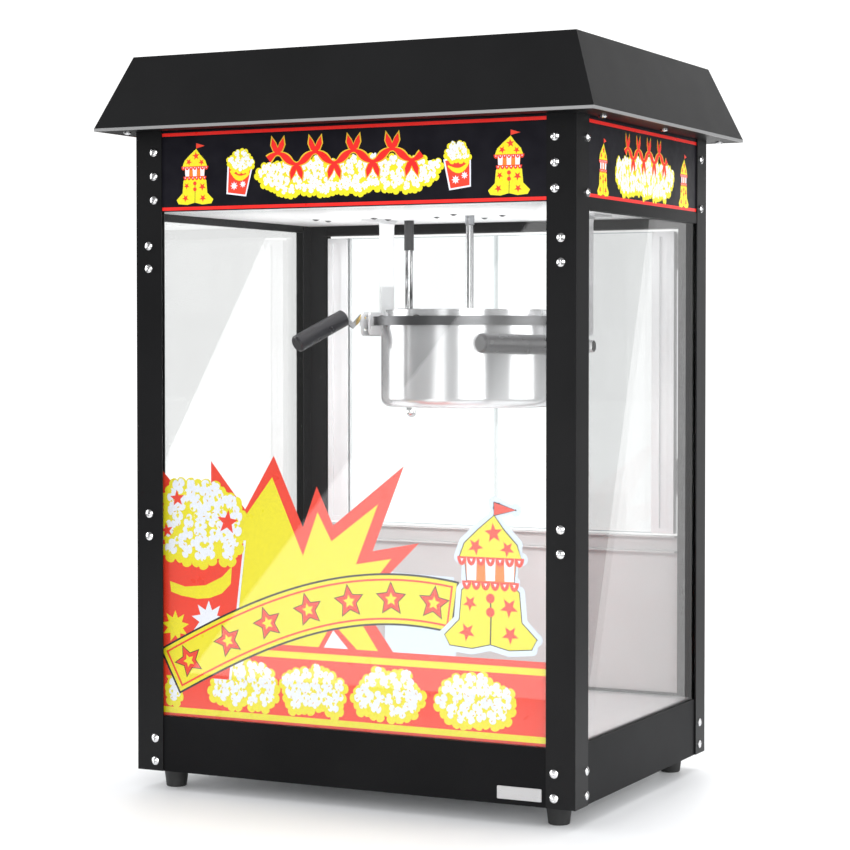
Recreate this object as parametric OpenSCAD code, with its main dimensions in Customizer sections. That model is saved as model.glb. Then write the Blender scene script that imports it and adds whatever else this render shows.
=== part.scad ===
// Tabletop popcorn maker: folded black cabinet with a hipped roof, glass on three sides,
// two doors at the back and a tilting kettle with a driven stirrer.
// Origin: centre of the footprint, on the surface that the feet stand on. +Y points to the back.

/* [Cabinet] */
// Width over the corner posts
body_w = 498; // [490:1:510]
// Depth over the corner posts
body_d = 366; // [362:1:372]
// Height of the feet
foot_h = 20; // [16:1:24]
// Height of the closed base above the feet
base_h = 58; // [54:1:60]
// Height of the top of the corner posts
post_top = 688; // [686:1:692]
// Height of the underside of the front sign
sign_z = 604.4; // [604:0.2:606]
// Thickness of the folded sheet
sheet = 1.5; // [1.5:0.1:1.6]
// Thickness of the glass panes
glass_t = 4; // [3.8:0.1:4]

/* [Posts] */
// Width of a post on the front and on the back
post_w = 31; // [30:0.5:32]
// Width of a front post on the side
post_side_front = 32; // [31:0.5:33]
// Width of a rear post on the side
post_side_rear = 28; // [27:0.5:29]

/* [Roof] */
// Width of the roof at its lower edge
roof_w = 560; // [550:1:570]
// Depth of the roof at its lower edge
roof_d = 430; // [424:1:436]
// Width of the flat top of the roof
roof_top_w = 500; // [480:1:510]
// Depth of the flat top of the roof
roof_top_d = 372; // [360:1:380]
// Height of the top of the roof
roof_top_z = 766; // [760:1:770]

/* [Kettle] */
// Kettle centre, left to right
kettle_x = 36; // [34:1:38]
// Kettle centre, front to back
kettle_y = 30; // [28:1:32]
// Height of the tilting axis
pivot_z = 490; // [489:0.5:491]
// Outer radius of the kettle's outer shell
shell_r = 95.5; // [94:0.5:96]
// Height of the underside of the kettle
kettle_z = 400; // [399:0.5:403]

/* [Doors] */
// Width of a door's hinge stile
stile_w = 26; // [24:1:28]
// Height of the underside of the doors
door_z = 258; // [257:0.5:260]
// Height of the top of the doors
door_top = 590; // [586:1:591]

/* [Crumb tray] */
// Width of the crumb tray
tray_w = 298; // [280:2:298]
// Height of the walls of the crumb tray
tray_h = 40; // [30:1:42]

/* [Hidden] */
$fn = 48;
eps = 0.01;
mid_x = body_w / 2;
mid_y = body_d / 2;

// Layers behind the outer face of the cabinet: flange, panels, then the glass slot
slot_in = 7.5;
inner_in = slot_in + sheet;
clear_in = inner_in + 0.5;
glass_in = 2.5;
panel_edge = 13;
glass_edge = 18.5;
sign_t = 3;
base_top = foot_h + base_h;
roof_sheet = 1.5;

// Rails and panels of the back
rear_panel_z = 592.7;
rail_z = 237;
rail_top = 255.5;
lower_panel_z = 82;
lower_open = post_w + 0.3;

// Side rails that hold the tops of the side panes
side_rail_z = 597;
side_rail_top = 608.5;
glass_top = 602.5;

// Screws: distance in from the corner of the cabinet, and heights
sign_in = 22;
clamp_in = 15.5;
side_in_front = 27;
side_in_rear = 18;
sign_rows = [for (i = [-1:1]) 641.3 + 24.8 * i];
clamp_rows = [for (mid = [277.7, 557.3], s = [-1, 1]) mid + 11.8 * s];
base_rows = [for (s = [-1, 1]) 42.2 + 11.9 * s];
side_sign_rows = [for (s = [-1, 1]) 639.5 + 26.5 * s];
rear_rows = [sign_rows[2], sign_rows[0], 246.3, 205, 105, base_rows[1], base_rows[0]];
roof_screws = [
  [-1, -186], [-1, -160], [-1, 28], [-1, 200],
  [1, -139], [1, 28], [1, 200]
];
roof_screw_x = 258;
shank_r = 2;
short_shank = 4.4;
long_shank = 11;
head_r = 4.3;
head_h = 2.8;
dome_r = 6.6;
cross_l = 4.8;
cross_w = 0.9;
cross_z = 1.2;

// Ceiling of the popping chamber
ceiling_z = 604.5;
shaft_r = 4.2;
// Front tips of the louvres: a ring about the stirrer, a ring by the lamp and one on the right
louvres = concat(
  [for (a = [0:90:270]) [kettle_x + 39 * cos(a), kettle_y + 39 * sin(a) - 4]],
  [for (a = [-25, 20, 160, 205]) [-112 + 40 * cos(a), 36 + 40 * sin(a)]],
  [[150, 97]]
);

// Kettle
shell_t = 1.2;
shell_corner = 10;
band_r = 103.7;
band_z = 486.7;
band_top = 496.2;
pot_r = 91;
pot_z = 432;
lid_r = 90.7;
lid_z = band_top + 0.3;
lid_h = 7;
lid_gap = 12.3;
hinge_y = 11;
hinge_z = 500.6;
pin_r = 1.5;
run = 0.06;
hanger_x = 120;
trunnion_r = 6;
bush_r = 8;
tang_z = 594.3;
tang_top = 602.2;
tang_gap = 0.7;
tang_t = 3;

// Band screws, lid pins and the ears that hold them
band_screws = [191, 261, 11, 81];
band_screw_in = 5;
lid_pins = [-47, 47];
lid_pin_l = 34;
lid_ears = [-64, -30, 30, 64];

// Left handle: end of its pin, direction of its strap, and the line of its grip outwards
left_pin_end = -130;
left_pin_r = 3.5;
left_turn = 233.13;
left_strap_t = 3;
left_grip_a = [-145, -16, 495.6];
left_grip_b = [-173.8, -71, 466.2];
left_grip_r = 9.5;

// Right handle: eye in its arm and the line of its rod and grip forwards
right_eye = [135.5, 0, 464.6];
right_tip = [73, -130, 468];
right_pin_r = 3;
right_rod_r = 4;
right_grip_start = 34;
right_bore = 30;
right_grip_r = 10;
arm_t = 3;

// Dome nut under the kettle
nub = [-56, -28];

// Gear motor above the ceiling
coupler_r = 5;
motor_half = 31;
motor_h = 38;
motor_r = 27;
motor_up = 30;

// Conduit with its sleeve and terminal box, and the lamp above the ceiling
conduit_at = [-70, 95];
conduit_r = 4.3;
conduit_bore = 3.3;
conduit_z = 500;
sleeve_r = 5.4;
sleeve_z = 571;
terminal_z = [474, 506];
lamp_at = [-120, 0];
lamp_z = 635;

// Corner feet
foot_x = 219.8;
foot_y = 154;

// Door hinges
hinge_axis_x = mid_x - post_w - 1;
hinge_axis_y = mid_y + 3.1;
hinge_rows = [300, 548];
hinge_h = 40;
knob_x = 22;
knob_z = 420;

// Rocker switches on the back
switch_x = [-70, -30, 10];
switch_z = 650;
rocker_y = mid_y - 4.5;
rocker_tilt = 8;
axle_r = 1.5;

// Inlet on the back
inlet_x = 152;
inlet_screw = 20;

// ---------- helpers ----------

// A box between two corners
module block(low, high) {
  translate(low) cube(high - low);
}

// A rectangle with rounded corners, between two corners
module round_rect(low, high, r) {
  translate([low[0] + r, low[1]]) square([high[0] - low[0] - 2 * r, high[1] - low[1]]);
  translate([low[0], low[1] + r]) square([high[0] - low[0], high[1] - low[1] - 2 * r]);
  for (x = [low[0] + r, high[0] - r], y = [low[1] + r, high[1] - r])
    translate([x, y]) circle(r);
}

// Stands a drawing in (Y, Z) up in the plane X = 0, t thick along +X
module in_yz(t) {
  rotate([90, 0, 90]) linear_extrude(t) children();
}

// Stands a drawing in (X, Z) up in the plane Y = 0, t thick along -Y
module in_xz(t) {
  rotate([90, 0, 0]) linear_extrude(t) children();
}

// A round bar between two points
module bar(a, b, r) {
  d = b - a;
  translate(a) rotate([0, acos(d[2] / norm(d)), atan2(d[1], d[0])]) cylinder(r = r, h = norm(d));
}

// Places things with their +Z out of the front (side -1) or back (side 1) face
module on_front(left_right, side, inset, z) {
  translate([left_right * (mid_x - inset), side * mid_y, z]) rotate([-90 * side, 0, 0]) children();
}

// Places things with their +Z out of the left (side -1) or right (side 1) face
module on_side(front_back, side, inset, z) {
  translate([side * mid_x, front_back * (mid_y - inset), z]) rotate([0, 90 * side, 0]) children();
}

// A pan head screw with a cross recess, with its head on the plane Z = 0
module pan_screw(shank) {
  difference() {
    intersection() {
      cylinder(r = head_r, h = head_h);
      translate([0, 0, head_h - dome_r]) sphere(dome_r);
    }
    for (turn = [0, 90]) rotate(turn) translate([-cross_l / 2, -cross_w / 2, cross_z])
      cube([cross_l, cross_w, head_h]);
  }
  translate([0, 0, -shank]) cylinder(r = shank_r, h = shank);
}

// Everything that goes at the screws of the front, the back and the sides
module at_front_screws() {
  for (s = [-1, 1]) {
    for (z = concat(sign_rows, base_rows)) on_front(s, -1, sign_in, z) children();
    for (z = clamp_rows) on_front(s, -1, clamp_in, z) children();
  }
}

module at_rear_screws() {
  for (s = [-1, 1], z = rear_rows) on_front(s, 1, sign_in, z) children();
}

module at_side_screws(side) {
  for (z = concat(side_sign_rows, base_rows)) {
    on_side(-1, side, side_in_front, z) children();
    on_side(1, side, side_in_rear, z) children();
  }
}

// Shanks of all the cabinet screws, for their holes
module screw_bores() {
  at_front_screws() translate([0, 0, -6]) cylinder(r = shank_r, h = 8);
  at_rear_screws() translate([0, 0, -6]) cylinder(r = shank_r, h = 8);
  for (side = [-1, 1]) at_side_screws(side) translate([0, 0, -6]) cylinder(r = shank_r, h = 8);
}

// ---------- cabinet ----------

// Post section: outer flanges along +X and +Y, inner flanges behind the glass slots
module post_profile(side_w) {
  square([post_w, sheet]);
  square([sheet, side_w]);
  translate([slot_in, slot_in]) square([post_w - 2 - slot_in, sheet]);
  translate([slot_in, slot_in]) square([sheet, side_w - 2 - slot_in]);
  translate([10, 0]) square([sheet, inner_in]);
  translate([0, 10]) square([inner_in, sheet]);
}

module post(left_right, front_back, side_w) {
  color("#1c1c1c") difference() {
    translate([left_right * mid_x, front_back * mid_y, foot_h])
      mirror([left_right > 0 ? 1 : 0, 0, 0])
        mirror([0, front_back > 0 ? 1 : 0, 0])
          linear_extrude(post_top - foot_h) post_profile(side_w);
    if (front_back < 0) {
      for (z = concat(sign_rows, base_rows)) on_front(left_right, -1, sign_in, z) screw_bore(4);
      for (z = clamp_rows) on_front(left_right, -1, clamp_in, z) screw_bore(long_shank + 1);
    }
    if (front_back > 0)
      for (z = rear_rows) on_front(left_right, 1, sign_in, z) screw_bore(4);
    for (z = concat(side_sign_rows, base_rows))
      on_side(front_back, left_right, front_back < 0 ? side_in_front : side_in_rear, z)
        screw_bore(4);
  }
}

// A screw hole that goes depth deep into the face it is placed on
module screw_bore(depth) {
  translate([0, 0, -depth]) cylinder(r = shank_r, h = depth + 1);
}

module post_front_left() { post(-1, -1, post_side_front); }
module post_front_right() { post(1, -1, post_side_front); }
module post_rear_left() { post(-1, 1, post_side_rear); }
module post_rear_right() { post(1, 1, post_side_rear); }

// A base panel: an upright sheet with its top and bottom edges folded inwards
module folded_panel(half, low, high, fold, fold_half) {
  block([-half, sheet, low], [half, 2 * sheet, high]);
  for (z = [low, high - sheet])
    block([-fold_half, sheet, z], [fold_half, fold, z + sheet]);
}

module base_front_panel() {
  color("#161616") difference() {
    translate([0, -mid_y, 0])
      folded_panel(mid_x - panel_edge, foot_h, base_top, 13, mid_x - post_w - 1);
    screw_bores();
  }
}

// A side base panel with a channel on top for the lower edge of the side pane
module base_side_panel(side) {
  low_y = -mid_y + panel_edge;
  high_y = mid_y - panel_edge;
  fold_low = -mid_y + post_side_front + 1;
  fold_high = mid_y - post_side_rear - 1;
  lip = 3;
  color("#161616") difference() {
    translate([side * mid_x, 0, 0]) mirror([side > 0 ? 1 : 0, 0, 0]) {
      block([sheet, low_y, foot_h], [2 * sheet, high_y, base_top]);
      for (z = [foot_h, base_top - sheet])
        block([sheet, fold_low, z], [13, fold_high, z + sheet]);
      block([sheet, fold_low, base_top], [glass_in, fold_high, base_top + lip]);
      block([glass_in + glass_t, fold_low, base_top], [inner_in - 0.5, fold_high, base_top + lip]);
    }
    screw_bores();
  }
}

module base_left_panel() { base_side_panel(-1); }
module base_right_panel() { base_side_panel(1); }

module base_rear_panel() {
  color("#161616") difference() {
    translate([0, mid_y, 0]) mirror([0, 1, 0])
      folded_panel(mid_x - panel_edge, foot_h, base_top + 4, 8, mid_x - post_w - 1);
    block([-tray_w / 2 - 1, mid_y - 20, 23.5], [tray_w / 2 + 1, mid_y + 1, 71]);
    screw_bores();
  }
}

// Bottom sheet with two runners for the crumb tray and holes for the studs of the feet
module base_pan() {
  pan_z = foot_h + sheet;
  color("#9a9a9a") difference() {
    union() {
      block([-mid_x + clear_in, -mid_y + clear_in, pan_z],
            [mid_x - clear_in, mid_y - clear_in, pan_z + sheet]);
      for (s = [-1, 1]) {
        translate([s * (tray_w / 2 - 12), 0, 0])
          block([-8, -150, pan_z + sheet], [8, 165, 25.2]);
        translate([s * (tray_w / 2 + 1.6), 0, 0])
          block([-0.8, -150, pan_z + sheet], [0.8, 165, 40]);
      }
    }
    for (sx = [-1, 1], sy = [-1, 1])
      translate([sx * foot_x, sy * foot_y, pan_z - 1]) cylinder(r = 3.1, h = 4);
  }
}

// Four tapered rubber feet, each with a shoulder and a threaded stud through the bottom sheet
module feet() {
  color("#111111")
    for (sx = [-1, 1], sy = [-1, 1]) translate([sx * foot_x, sy * foot_y, 0]) {
      rotate_extrude() polygon([[0, 0], [9.7, 0], [10.7, 1], [13, foot_h - 1], [12, foot_h],
        [8, foot_h], [8, foot_h + sheet], [3, foot_h + sheet], [3, foot_h + 12],
        [0, foot_h + 12]]);
    }
}

// Stainless floor of the popping chamber, with slots that let crumbs fall into the tray
module floor_plate() {
  rows = 5;
  columns = 7;
  color("#d8d8d8") difference() {
    block([-mid_x + clear_in, -mid_y + clear_in, base_top],
          [mid_x - clear_in, mid_y - clear_in, base_top + sheet]);
    for (i = [0:columns - 1], j = [0:rows - 1])
      translate([(i - (columns - 1) / 2) * 36, (j - (rows - 1) / 2) * 30, base_top - 1])
        linear_extrude(4) {
          square([18, 4], center = true);
          for (s = [-9, 9]) translate([s, 0]) circle(2);
        }
  }
}

// ---------- roof and signs ----------

// A frustum with a rectangular base, from z0 to z1
module hip(w0, d0, z0, w1, d1, z1) {
  translate([0, 0, z0]) linear_extrude(z1 - z0, scale = [w1 / w0, d1 / d0], slices = 1)
    square([w0, d0], center = true);
}

module roof_shell() {
  hem = 2.5;
  wall = roof_sheet;
  color("#1c1c1c") difference() {
    union() {
      block([-roof_w / 2, -roof_d / 2, post_top - 0.5], [roof_w / 2, roof_d / 2, post_top + hem]);
      hip(roof_w, roof_d, post_top + hem, roof_top_w, roof_top_d, roof_top_z);
    }
    block([-roof_w / 2 + wall, -roof_d / 2 + wall, post_top - 1],
          [roof_w / 2 - wall, roof_d / 2 - wall, post_top + hem + eps]);
    hip(roof_w - 2 * wall, roof_d - 2 * wall, post_top + hem,
        roof_top_w - 2 * wall, roof_top_d - 2 * wall, roof_top_z - wall);
  }
}

// Flat frame under the overhang; it rests on the posts and closes the roof
module roof_underside() {
  wall = roof_sheet;
  color("#1c1c1c") difference() {
    block([-roof_w / 2 + wall, -roof_d / 2 + wall, post_top],
          [roof_w / 2 - wall, roof_d / 2 - wall, post_top + sheet]);
    block([-mid_x + 12, -mid_y + 12, post_top - 1], [mid_x - 12, mid_y - 12, post_top + 3]);
    for (p = roof_screws) translate([p[0] * roof_screw_x, p[1], post_top - 1])
      cylinder(r = shank_r, h = 4);
  }
}

// A small louvre with a V-shaped lip, pressed down out of the ceiling
module louvre() {
  half_w = 4.2;
  lip = 2.2;
  length = 5;
  translate([0, length, 0]) in_xz(length)
    polygon([[-half_w, eps], [0, -lip], [half_w, eps]]);
}

// Ceiling of the popping chamber, with the louvres pressed down out of it
module ceiling_plate() {
  color("#e2e2e2") difference() {
    union() {
      block([-mid_x + clear_in, -mid_y + clear_in, ceiling_z],
            [mid_x - clear_in, mid_y - clear_in, ceiling_z + sheet]);
      for (p = louvres) translate([p[0], p[1], ceiling_z]) louvre();
    }
    translate([kettle_x, kettle_y, ceiling_z - 1]) cylinder(r = 6.5, h = 4);
  }
}

module front_sign() {
  color("#101014") difference() {
    block([-mid_x + panel_edge, -mid_y + sheet, sign_z],
          [mid_x - panel_edge, -mid_y + sheet + sign_t, post_top - 0.5]);
    screw_bores();
  }
}

module side_sign(side) {
  color("#101014") difference() {
    translate([side * mid_x, 0, 0]) mirror([side > 0 ? 1 : 0, 0, 0])
      block([sheet, -mid_y + panel_edge, side_rail_top],
            [sheet + sign_t, mid_y - panel_edge, post_top - 0.5]);
    screw_bores();
  }
}

module left_sign() { side_sign(-1); }
module right_sign() { side_sign(1); }

// Rear sheet of the roof box, with its lower edge folded forwards, and cut out for the
// switches and the inlet
module rear_top_panel() {
  color("#1c1c1c") difference() {
    union() {
      block([-mid_x + panel_edge, mid_y - 2 * sheet, rear_panel_z],
            [mid_x - panel_edge, mid_y - sheet, post_top - 0.5]);
      block([-mid_x + lower_open, mid_y - 20, rear_panel_z],
            [mid_x - lower_open, mid_y - 2 * sheet, rear_panel_z + sheet]);
    }
    for (x = switch_x) block([x - 9, mid_y - 5, switch_z - 13], [x + 9, mid_y, switch_z + 13]);
    block([inlet_x - 14, mid_y - 5, switch_z - 10], [inlet_x + 14, mid_y, switch_z + 10]);
    for (s = [-1, 1]) translate([inlet_x + inlet_screw * s, mid_y, switch_z]) rotate([90, 0, 0])
      cylinder(r = shank_r, h = 5);
    screw_bores();
  }
}

// Channels that hold the top edges of the side panes
module side_top_rails() {
  color("#3a3a3a")
    for (side = [-1, 1]) translate([side * mid_x, 0, 0]) mirror([side > 0 ? 1 : 0, 0, 0])
      difference() {
        block([0.5, -mid_y + post_side_front + 0.2, side_rail_z],
              [inner_in, mid_y - post_side_rear - 0.2, side_rail_top]);
        block([glass_in, -mid_y, side_rail_z - 1],
              [glass_in + glass_t, mid_y, glass_top + 0.5]);
      }
}

// ---------- glass ----------

module front_glass() {
  color("#cfe3e8", 0.3)
    block([-mid_x + glass_edge, -mid_y + glass_in, base_top],
          [mid_x - glass_edge, -mid_y + glass_in + glass_t, glass_top]);
}

module side_glass(side) {
  color("#cfe3e8", 0.3) translate([side * mid_x, 0, 0]) mirror([side > 0 ? 1 : 0, 0, 0])
    block([glass_in, -mid_y + panel_edge, base_top],
          [glass_in + glass_t, mid_y - panel_edge, glass_top]);
}

module left_glass() { side_glass(-1); }
module right_glass() { side_glass(1); }

// ---------- back ----------

module rear_middle_rail() {
  color("#c9c9c9") difference() {
    translate([0, mid_y, 0]) mirror([0, 1, 0]) {
      block([-mid_x + panel_edge, sheet, rail_z], [mid_x - panel_edge, 2 * sheet, rail_top]);
      for (z = [rail_z, rail_top - sheet])
        block([-mid_x + lower_open, 2 * sheet, z], [mid_x - lower_open, 13, z + sheet]);
    }
    screw_bores();
  }
}

module rear_lower_panel() {
  color("#bdbdbd") difference() {
    block([-mid_x + panel_edge, mid_y - 2 * sheet, lower_panel_z],
          [mid_x - panel_edge, mid_y - sheet, rail_z]);
    screw_bores();
  }
}

// Fixed halves of the four door hinges, each with its pin
module door_hinges() {
  color("#b0b0b0")
    for (s = [-1, 1], z = hinge_rows) translate([s * hinge_axis_x, hinge_axis_y, z]) {
      for (part = [[0, 13], [27, 40]]) translate([0, 0, part[0]]) {
        cylinder(r = 3, h = part[1] - part[0]);
        translate([s > 0 ? 0 : -5, -3.1, 0]) cube([5, 1.5, part[1] - part[0]]);
      }
      cylinder(r = pin_r, h = hinge_h);
      translate([s > 0 ? 4 : -22, -3.1, 0]) cube([18, 1.5, hinge_h]);
    }
}

// The stile of one door, hinged at the post, with the moving halves of its two hinges
module door_stile(side) {
  post_side = mid_x - post_w - 2;
  color("#c4c6c8") {
    difference() {
      translate([side * post_side, 0, 0]) mirror([side > 0 ? 1 : 0, 0, 0]) {
        difference() {
          block([0, mid_y - 11, door_z], [stile_w, mid_y, door_top]);
          block([stile_w - 6, mid_y - 9, door_z - 1], [stile_w + 1, mid_y - 5, door_top + 1]);
          block([6, mid_y - 12, door_z + 6], [stile_w - 9, mid_y - 8, door_top - 6]);
        }
      }
      for (z = hinge_rows) translate([side * hinge_axis_x, hinge_axis_y, z - 0.5])
        cylinder(r = 3.6, h = hinge_h + 1);
    }
    for (z = hinge_rows) translate([side * hinge_axis_x, hinge_axis_y, z]) difference() {
      union() {
        translate([0, 0, 13.3]) cylinder(r = 3, h = 13.4);
        translate([side > 0 ? -6 : 0, -3.1, 13.3]) cube([6, 1.5, 13.4]);
        translate([side > 0 ? -23 : 5, -3.1, 0]) cube([18, 1.5, hinge_h]);
      }
      translate([0, 0, -1]) cylinder(r = pin_r + run, h = hinge_h + 2);
    }
  }
}

module left_door_stile() { door_stile(-1); }
module right_door_stile() { door_stile(1); }

module door_pane(side) {
  pane_side = mid_x - post_w - 2 - stile_w + 6;
  color("#d8e8ec", 0.3) difference() {
    translate([side > 0 ? 1 : -pane_side, mid_y - 9, door_z])
      cube([pane_side - 1, 4, door_top - door_z]);
    translate([side * knob_x, mid_y, knob_z]) rotate([90, 0, 0]) cylinder(r = 2.5, h = 12);
  }
}

module left_door_pane() { door_pane(-1); }
module right_door_pane() { door_pane(1); }

// A turned knob outside, its stud through the pane and a cap nut inside
module door_knob(side) {
  color("#151515") translate([side * knob_x, mid_y - 5, knob_z]) rotate([-90, 0, 0])
    rotate_extrude() polygon([[0, -7], [4, -7], [5, -6], [5, -4], [2.5, -4], [2.5, 0], [8, 0],
      [8, 2], [5, 4], [5, 9], [9, 13], [9.5, 16], [8.5, 18], [0, 18]]);
}

module left_door_knob() { door_knob(-1); }
module right_door_knob() { door_knob(1); }

// Housings of the three rocker switches, with a rim outside and a well for the rocker
module switch_bezels() {
  color("#202020") for (x = switch_x) difference() {
    union() {
      block([x - 11, mid_y - sheet, switch_z - 15], [x + 11, mid_y + 0.5, switch_z + 15]);
      block([x - 9, mid_y - 18, switch_z - 13], [x + 9, mid_y - sheet, switch_z + 13]);
    }
    block([x - 7.5, mid_y - 14, switch_z - 11.5], [x + 7.5, mid_y + 1, switch_z + 11.5]);
    translate([x - 12, rocker_y, switch_z]) rotate([0, 90, 0]) cylinder(r = axle_r + 0.05, h = 24);
  }
}

// Rocker with its two axle stubs, shown in the off position
module rocker(i, tint) {
  color(tint) translate([switch_x[i], rocker_y, switch_z]) rotate([-rocker_tilt, 0, 0]) {
    translate([-7.1, 0, 0]) in_yz(14.2)
      polygon([[-4, -8], [3, -10.2], [5.2, -9.6], [3.6, 0], [5.2, 9.6], [3, 10.2], [-4, 8]]);
    translate([-8.8, 0, 0]) rotate([0, 90, 0]) cylinder(r = axle_r, h = 17.6);
  }
}

module motor_switch() { rocker(0, "#a01818"); }
module heat_switch() { rocker(1, "#a01818"); }
module light_switch() { rocker(2, "#a01818"); }

// Three-pin appliance inlet with a flange; its lead is not part of the object
module power_inlet() {
  color("#1a1a1a") translate([inlet_x, mid_y - sheet, switch_z]) {
    difference() {
      union() {
        block([-25, 0, -13], [25, 2.5, 13]);
        block([-14, -20, -10], [14, 0, 10]);
      }
      block([-12, -14, -8], [12, 3, 8]);
      for (s = [-1, 1]) translate([inlet_screw * s, 3, 0]) rotate([90, 0, 0]) cylinder(r = shank_r, h = 5);
    }
    for (p = [[-7, -2], [0, 3], [7, -2]])
      translate([p[0], 0, p[1]]) block([-1, -15, -2.5], [1, -1, 2.5]);
  }
}

module nameplate() {
  color("#c0c0c0") translate([189.7, -mid_y + sheet, 31.5])
    in_xz(0.8) round_rect([-23.6, -6.3], [23.6, 6.3], 1);
}

module frame_screws() {
  color("#d0d0d0") {
    for (s = [-1, 1]) {
      for (z = concat(sign_rows, base_rows)) on_front(s, -1, sign_in, z) pan_screw(short_shank);
      for (z = clamp_rows) on_front(s, -1, clamp_in, z) pan_screw(long_shank);
      for (z = rear_rows) on_front(s, 1, sign_in, z) pan_screw(short_shank);
      at_side_screws(s) pan_screw(short_shank);
    }
    for (p = roof_screws) translate([p[0] * roof_screw_x, p[1], post_top])
      rotate([180, 0, 0]) pan_screw(3);
    for (s = [-1, 1]) translate([inlet_x + inlet_screw * s, mid_y + 1, switch_z])
      rotate([-90, 0, 0]) pan_screw(5);
  }
}

// ---------- crumb tray ----------

module crumb_tray() {
  tray_z = 25.5;
  back_y = mid_y - sheet + 0.3;
  front_y = -148;
  wall = 1.2;
  color("#c8c8c8") {
    difference() {
      block([-tray_w / 2, front_y, tray_z], [tray_w / 2, back_y, tray_z + tray_h]);
      block([-tray_w / 2 + wall, front_y + wall, tray_z + wall],
            [tray_w / 2 - wall, back_y - wall, tray_z + tray_h + 1]);
    }
    block([-tray_w / 2 - 6, back_y, 22.5], [tray_w / 2 + 6, back_y + sheet, 76]);
    block([-60, back_y + sheet, 74.5], [60, back_y + 17, 76]);
    block([-60, back_y + 15.5, 66], [60, back_y + 17, 74.5]);
  }
}

// ---------- kettle ----------

// Outline of a cup of radius r from z0 up to z1, with a rounded lower corner
module cup_outline(r, z0, z1, corner) {
  translate([0, z0]) square([r - corner, z1 - z0]);
  translate([0, z0 + corner]) square([r, z1 - z0 - corner]);
  intersection() {
    translate([r - corner, z0 + corner]) circle(corner);
    translate([0, z0]) square([r, corner + 1]);
  }
}

module at_kettle() {
  translate([kettle_x, kettle_y, 0]) children();
}

module kettle_shell() {
  color("#dcdcdc") at_kettle() rotate_extrude() difference() {
    cup_outline(shell_r, kettle_z, band_top - sheet, shell_corner);
    cup_outline(shell_r - shell_t, kettle_z + shell_t, band_top, shell_corner - shell_t);
  }
}

module kettle_pot() {
  color("#e6e6e6") at_kettle() rotate_extrude() difference() {
    cup_outline(pot_r, pot_z, band_top - sheet, 8);
    cup_outline(pot_r - sheet, pot_z + sheet, band_top, 6.5);
  }
}

// Ring that closes the gap between pot and shell and carries the lids
module kettle_band() {
  color("#4a4a4a") at_kettle() difference() {
    rotate_extrude() {
      translate([band_r - sheet, band_z]) square([sheet, band_top - band_z]);
      translate([pot_r - 3, band_top - sheet]) square([band_r - pot_r + 3, sheet]);
      translate([shell_r, band_z]) square([band_r - shell_r, sheet]);
    }
    for (a = band_screws)
      rotate(a) translate([band_r - band_screw_in, 0, band_top - 3]) cylinder(r = 1.5, h = 4);
  }
}

// Cast heater disc under the pot and the tubular element inside the shell below it
module heater_element() {
  color("#8a8a8a") at_kettle() {
    translate([0, 0, pot_z - 9]) cylinder(r = 80, h = 8.8);
    rotate_extrude() translate([60, pot_z - 13.2]) circle(4);
  }
}

// Places things along the four lid pins
module at_lid_pins() {
  for (x = lid_pins, s = [-1, 1]) translate([x, s * hinge_y, hinge_z]) rotate([0, 90, 0])
    children();
}

// Dome nut under the kettle, screws in the band, screws that fix the crossbar and lid pins
module kettle_fasteners() {
  color("#d6d6d6") at_kettle() {
    translate([nub[0], nub[1], kettle_z]) {
      translate([0, 0, -4]) cylinder(r = 6.2, h = 4, $fn = 6);
      translate([0, 0, -4]) rotate([180, 0, 0]) cylinder(r = 5, h = 3);
      translate([0, 0, -7]) sphere(5);
    }
    for (a = band_screws) rotate(a) translate([band_r - band_screw_in, 0, band_top]) {
      intersection() {
        cylinder(r = 3.2, h = 2);
        translate([0, 0, -3]) sphere(4.9);
      }
      translate([0, 0, -3]) cylinder(r = 1.5, h = 3);
    }
    at_lid_pins() cylinder(r = pin_r, h = lid_pin_l, center = true);
  }
}

// Bar across the kettle mouth: bush for the stirrer shaft and ears for the lid pins
module kettle_crossbar() {
  color("#d0d0d0") at_kettle() difference() {
    union() {
      block([-lid_r, -6.5, band_top], [lid_r, 6.5, band_top + 2]);
      for (y = [-6.5, 5]) block([-lid_r, y, band_top], [lid_r, y + 1.5, band_top + 6]);
      translate([0, 0, band_top]) cylinder(r = 8, h = 9);
      for (x = lid_ears, s = [-1, 1])
        translate([x - 1.5, 0, 0]) in_yz(3)
          polygon([[s * 5, band_top], [s * (hinge_y + 2.5), hinge_z - 2.5],
                   [s * (hinge_y + 2.5), hinge_z + 2.5], [s * 5, hinge_z + 2.5]]);
    }
    translate([0, 0, band_top - 1]) cylinder(r = shaft_r + run, h = 12);
    at_lid_pins() cylinder(r = pin_r, h = lid_pin_l, center = true);
  }
}

// Half lid: a shallow inverted pan with two rolled barrels on the lid pins
module half_lid(side) {
  color("#e8e8e8") at_kettle() mirror([0, side > 0 ? 0 : 1, 0]) difference() {
    union() {
      difference() {
        intersection() {
          translate([0, 0, lid_z]) cylinder(r = lid_r, h = lid_h);
          block([-lid_r, lid_gap, lid_z - 1], [lid_r, lid_r, lid_z + lid_h + 1]);
        }
        intersection() {
          translate([0, 0, lid_z - 1]) cylinder(r = lid_r - sheet, h = lid_h + 1 - sheet);
          block([-lid_r, lid_gap + sheet, lid_z - 2], [lid_r, lid_r, lid_z + lid_h]);
        }
      }
      for (x = lid_pins) translate([x - 14.8, hinge_y, hinge_z]) rotate([0, 90, 0])
        cylinder(r = 2.7, h = 29.6);
    }
    for (x = lid_pins) translate([x - 18, hinge_y, hinge_z]) rotate([0, 90, 0])
      cylinder(r = pin_r + run, h = 36);
    for (x = lid_ears)
      block([x - 2.2, 0, lid_z - 1], [x + 2.2, lid_gap + 2.5, lid_z + lid_h + 1]);
  }
}

module front_lid() { half_lid(-1); }
module rear_lid() { half_lid(1); }

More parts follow.
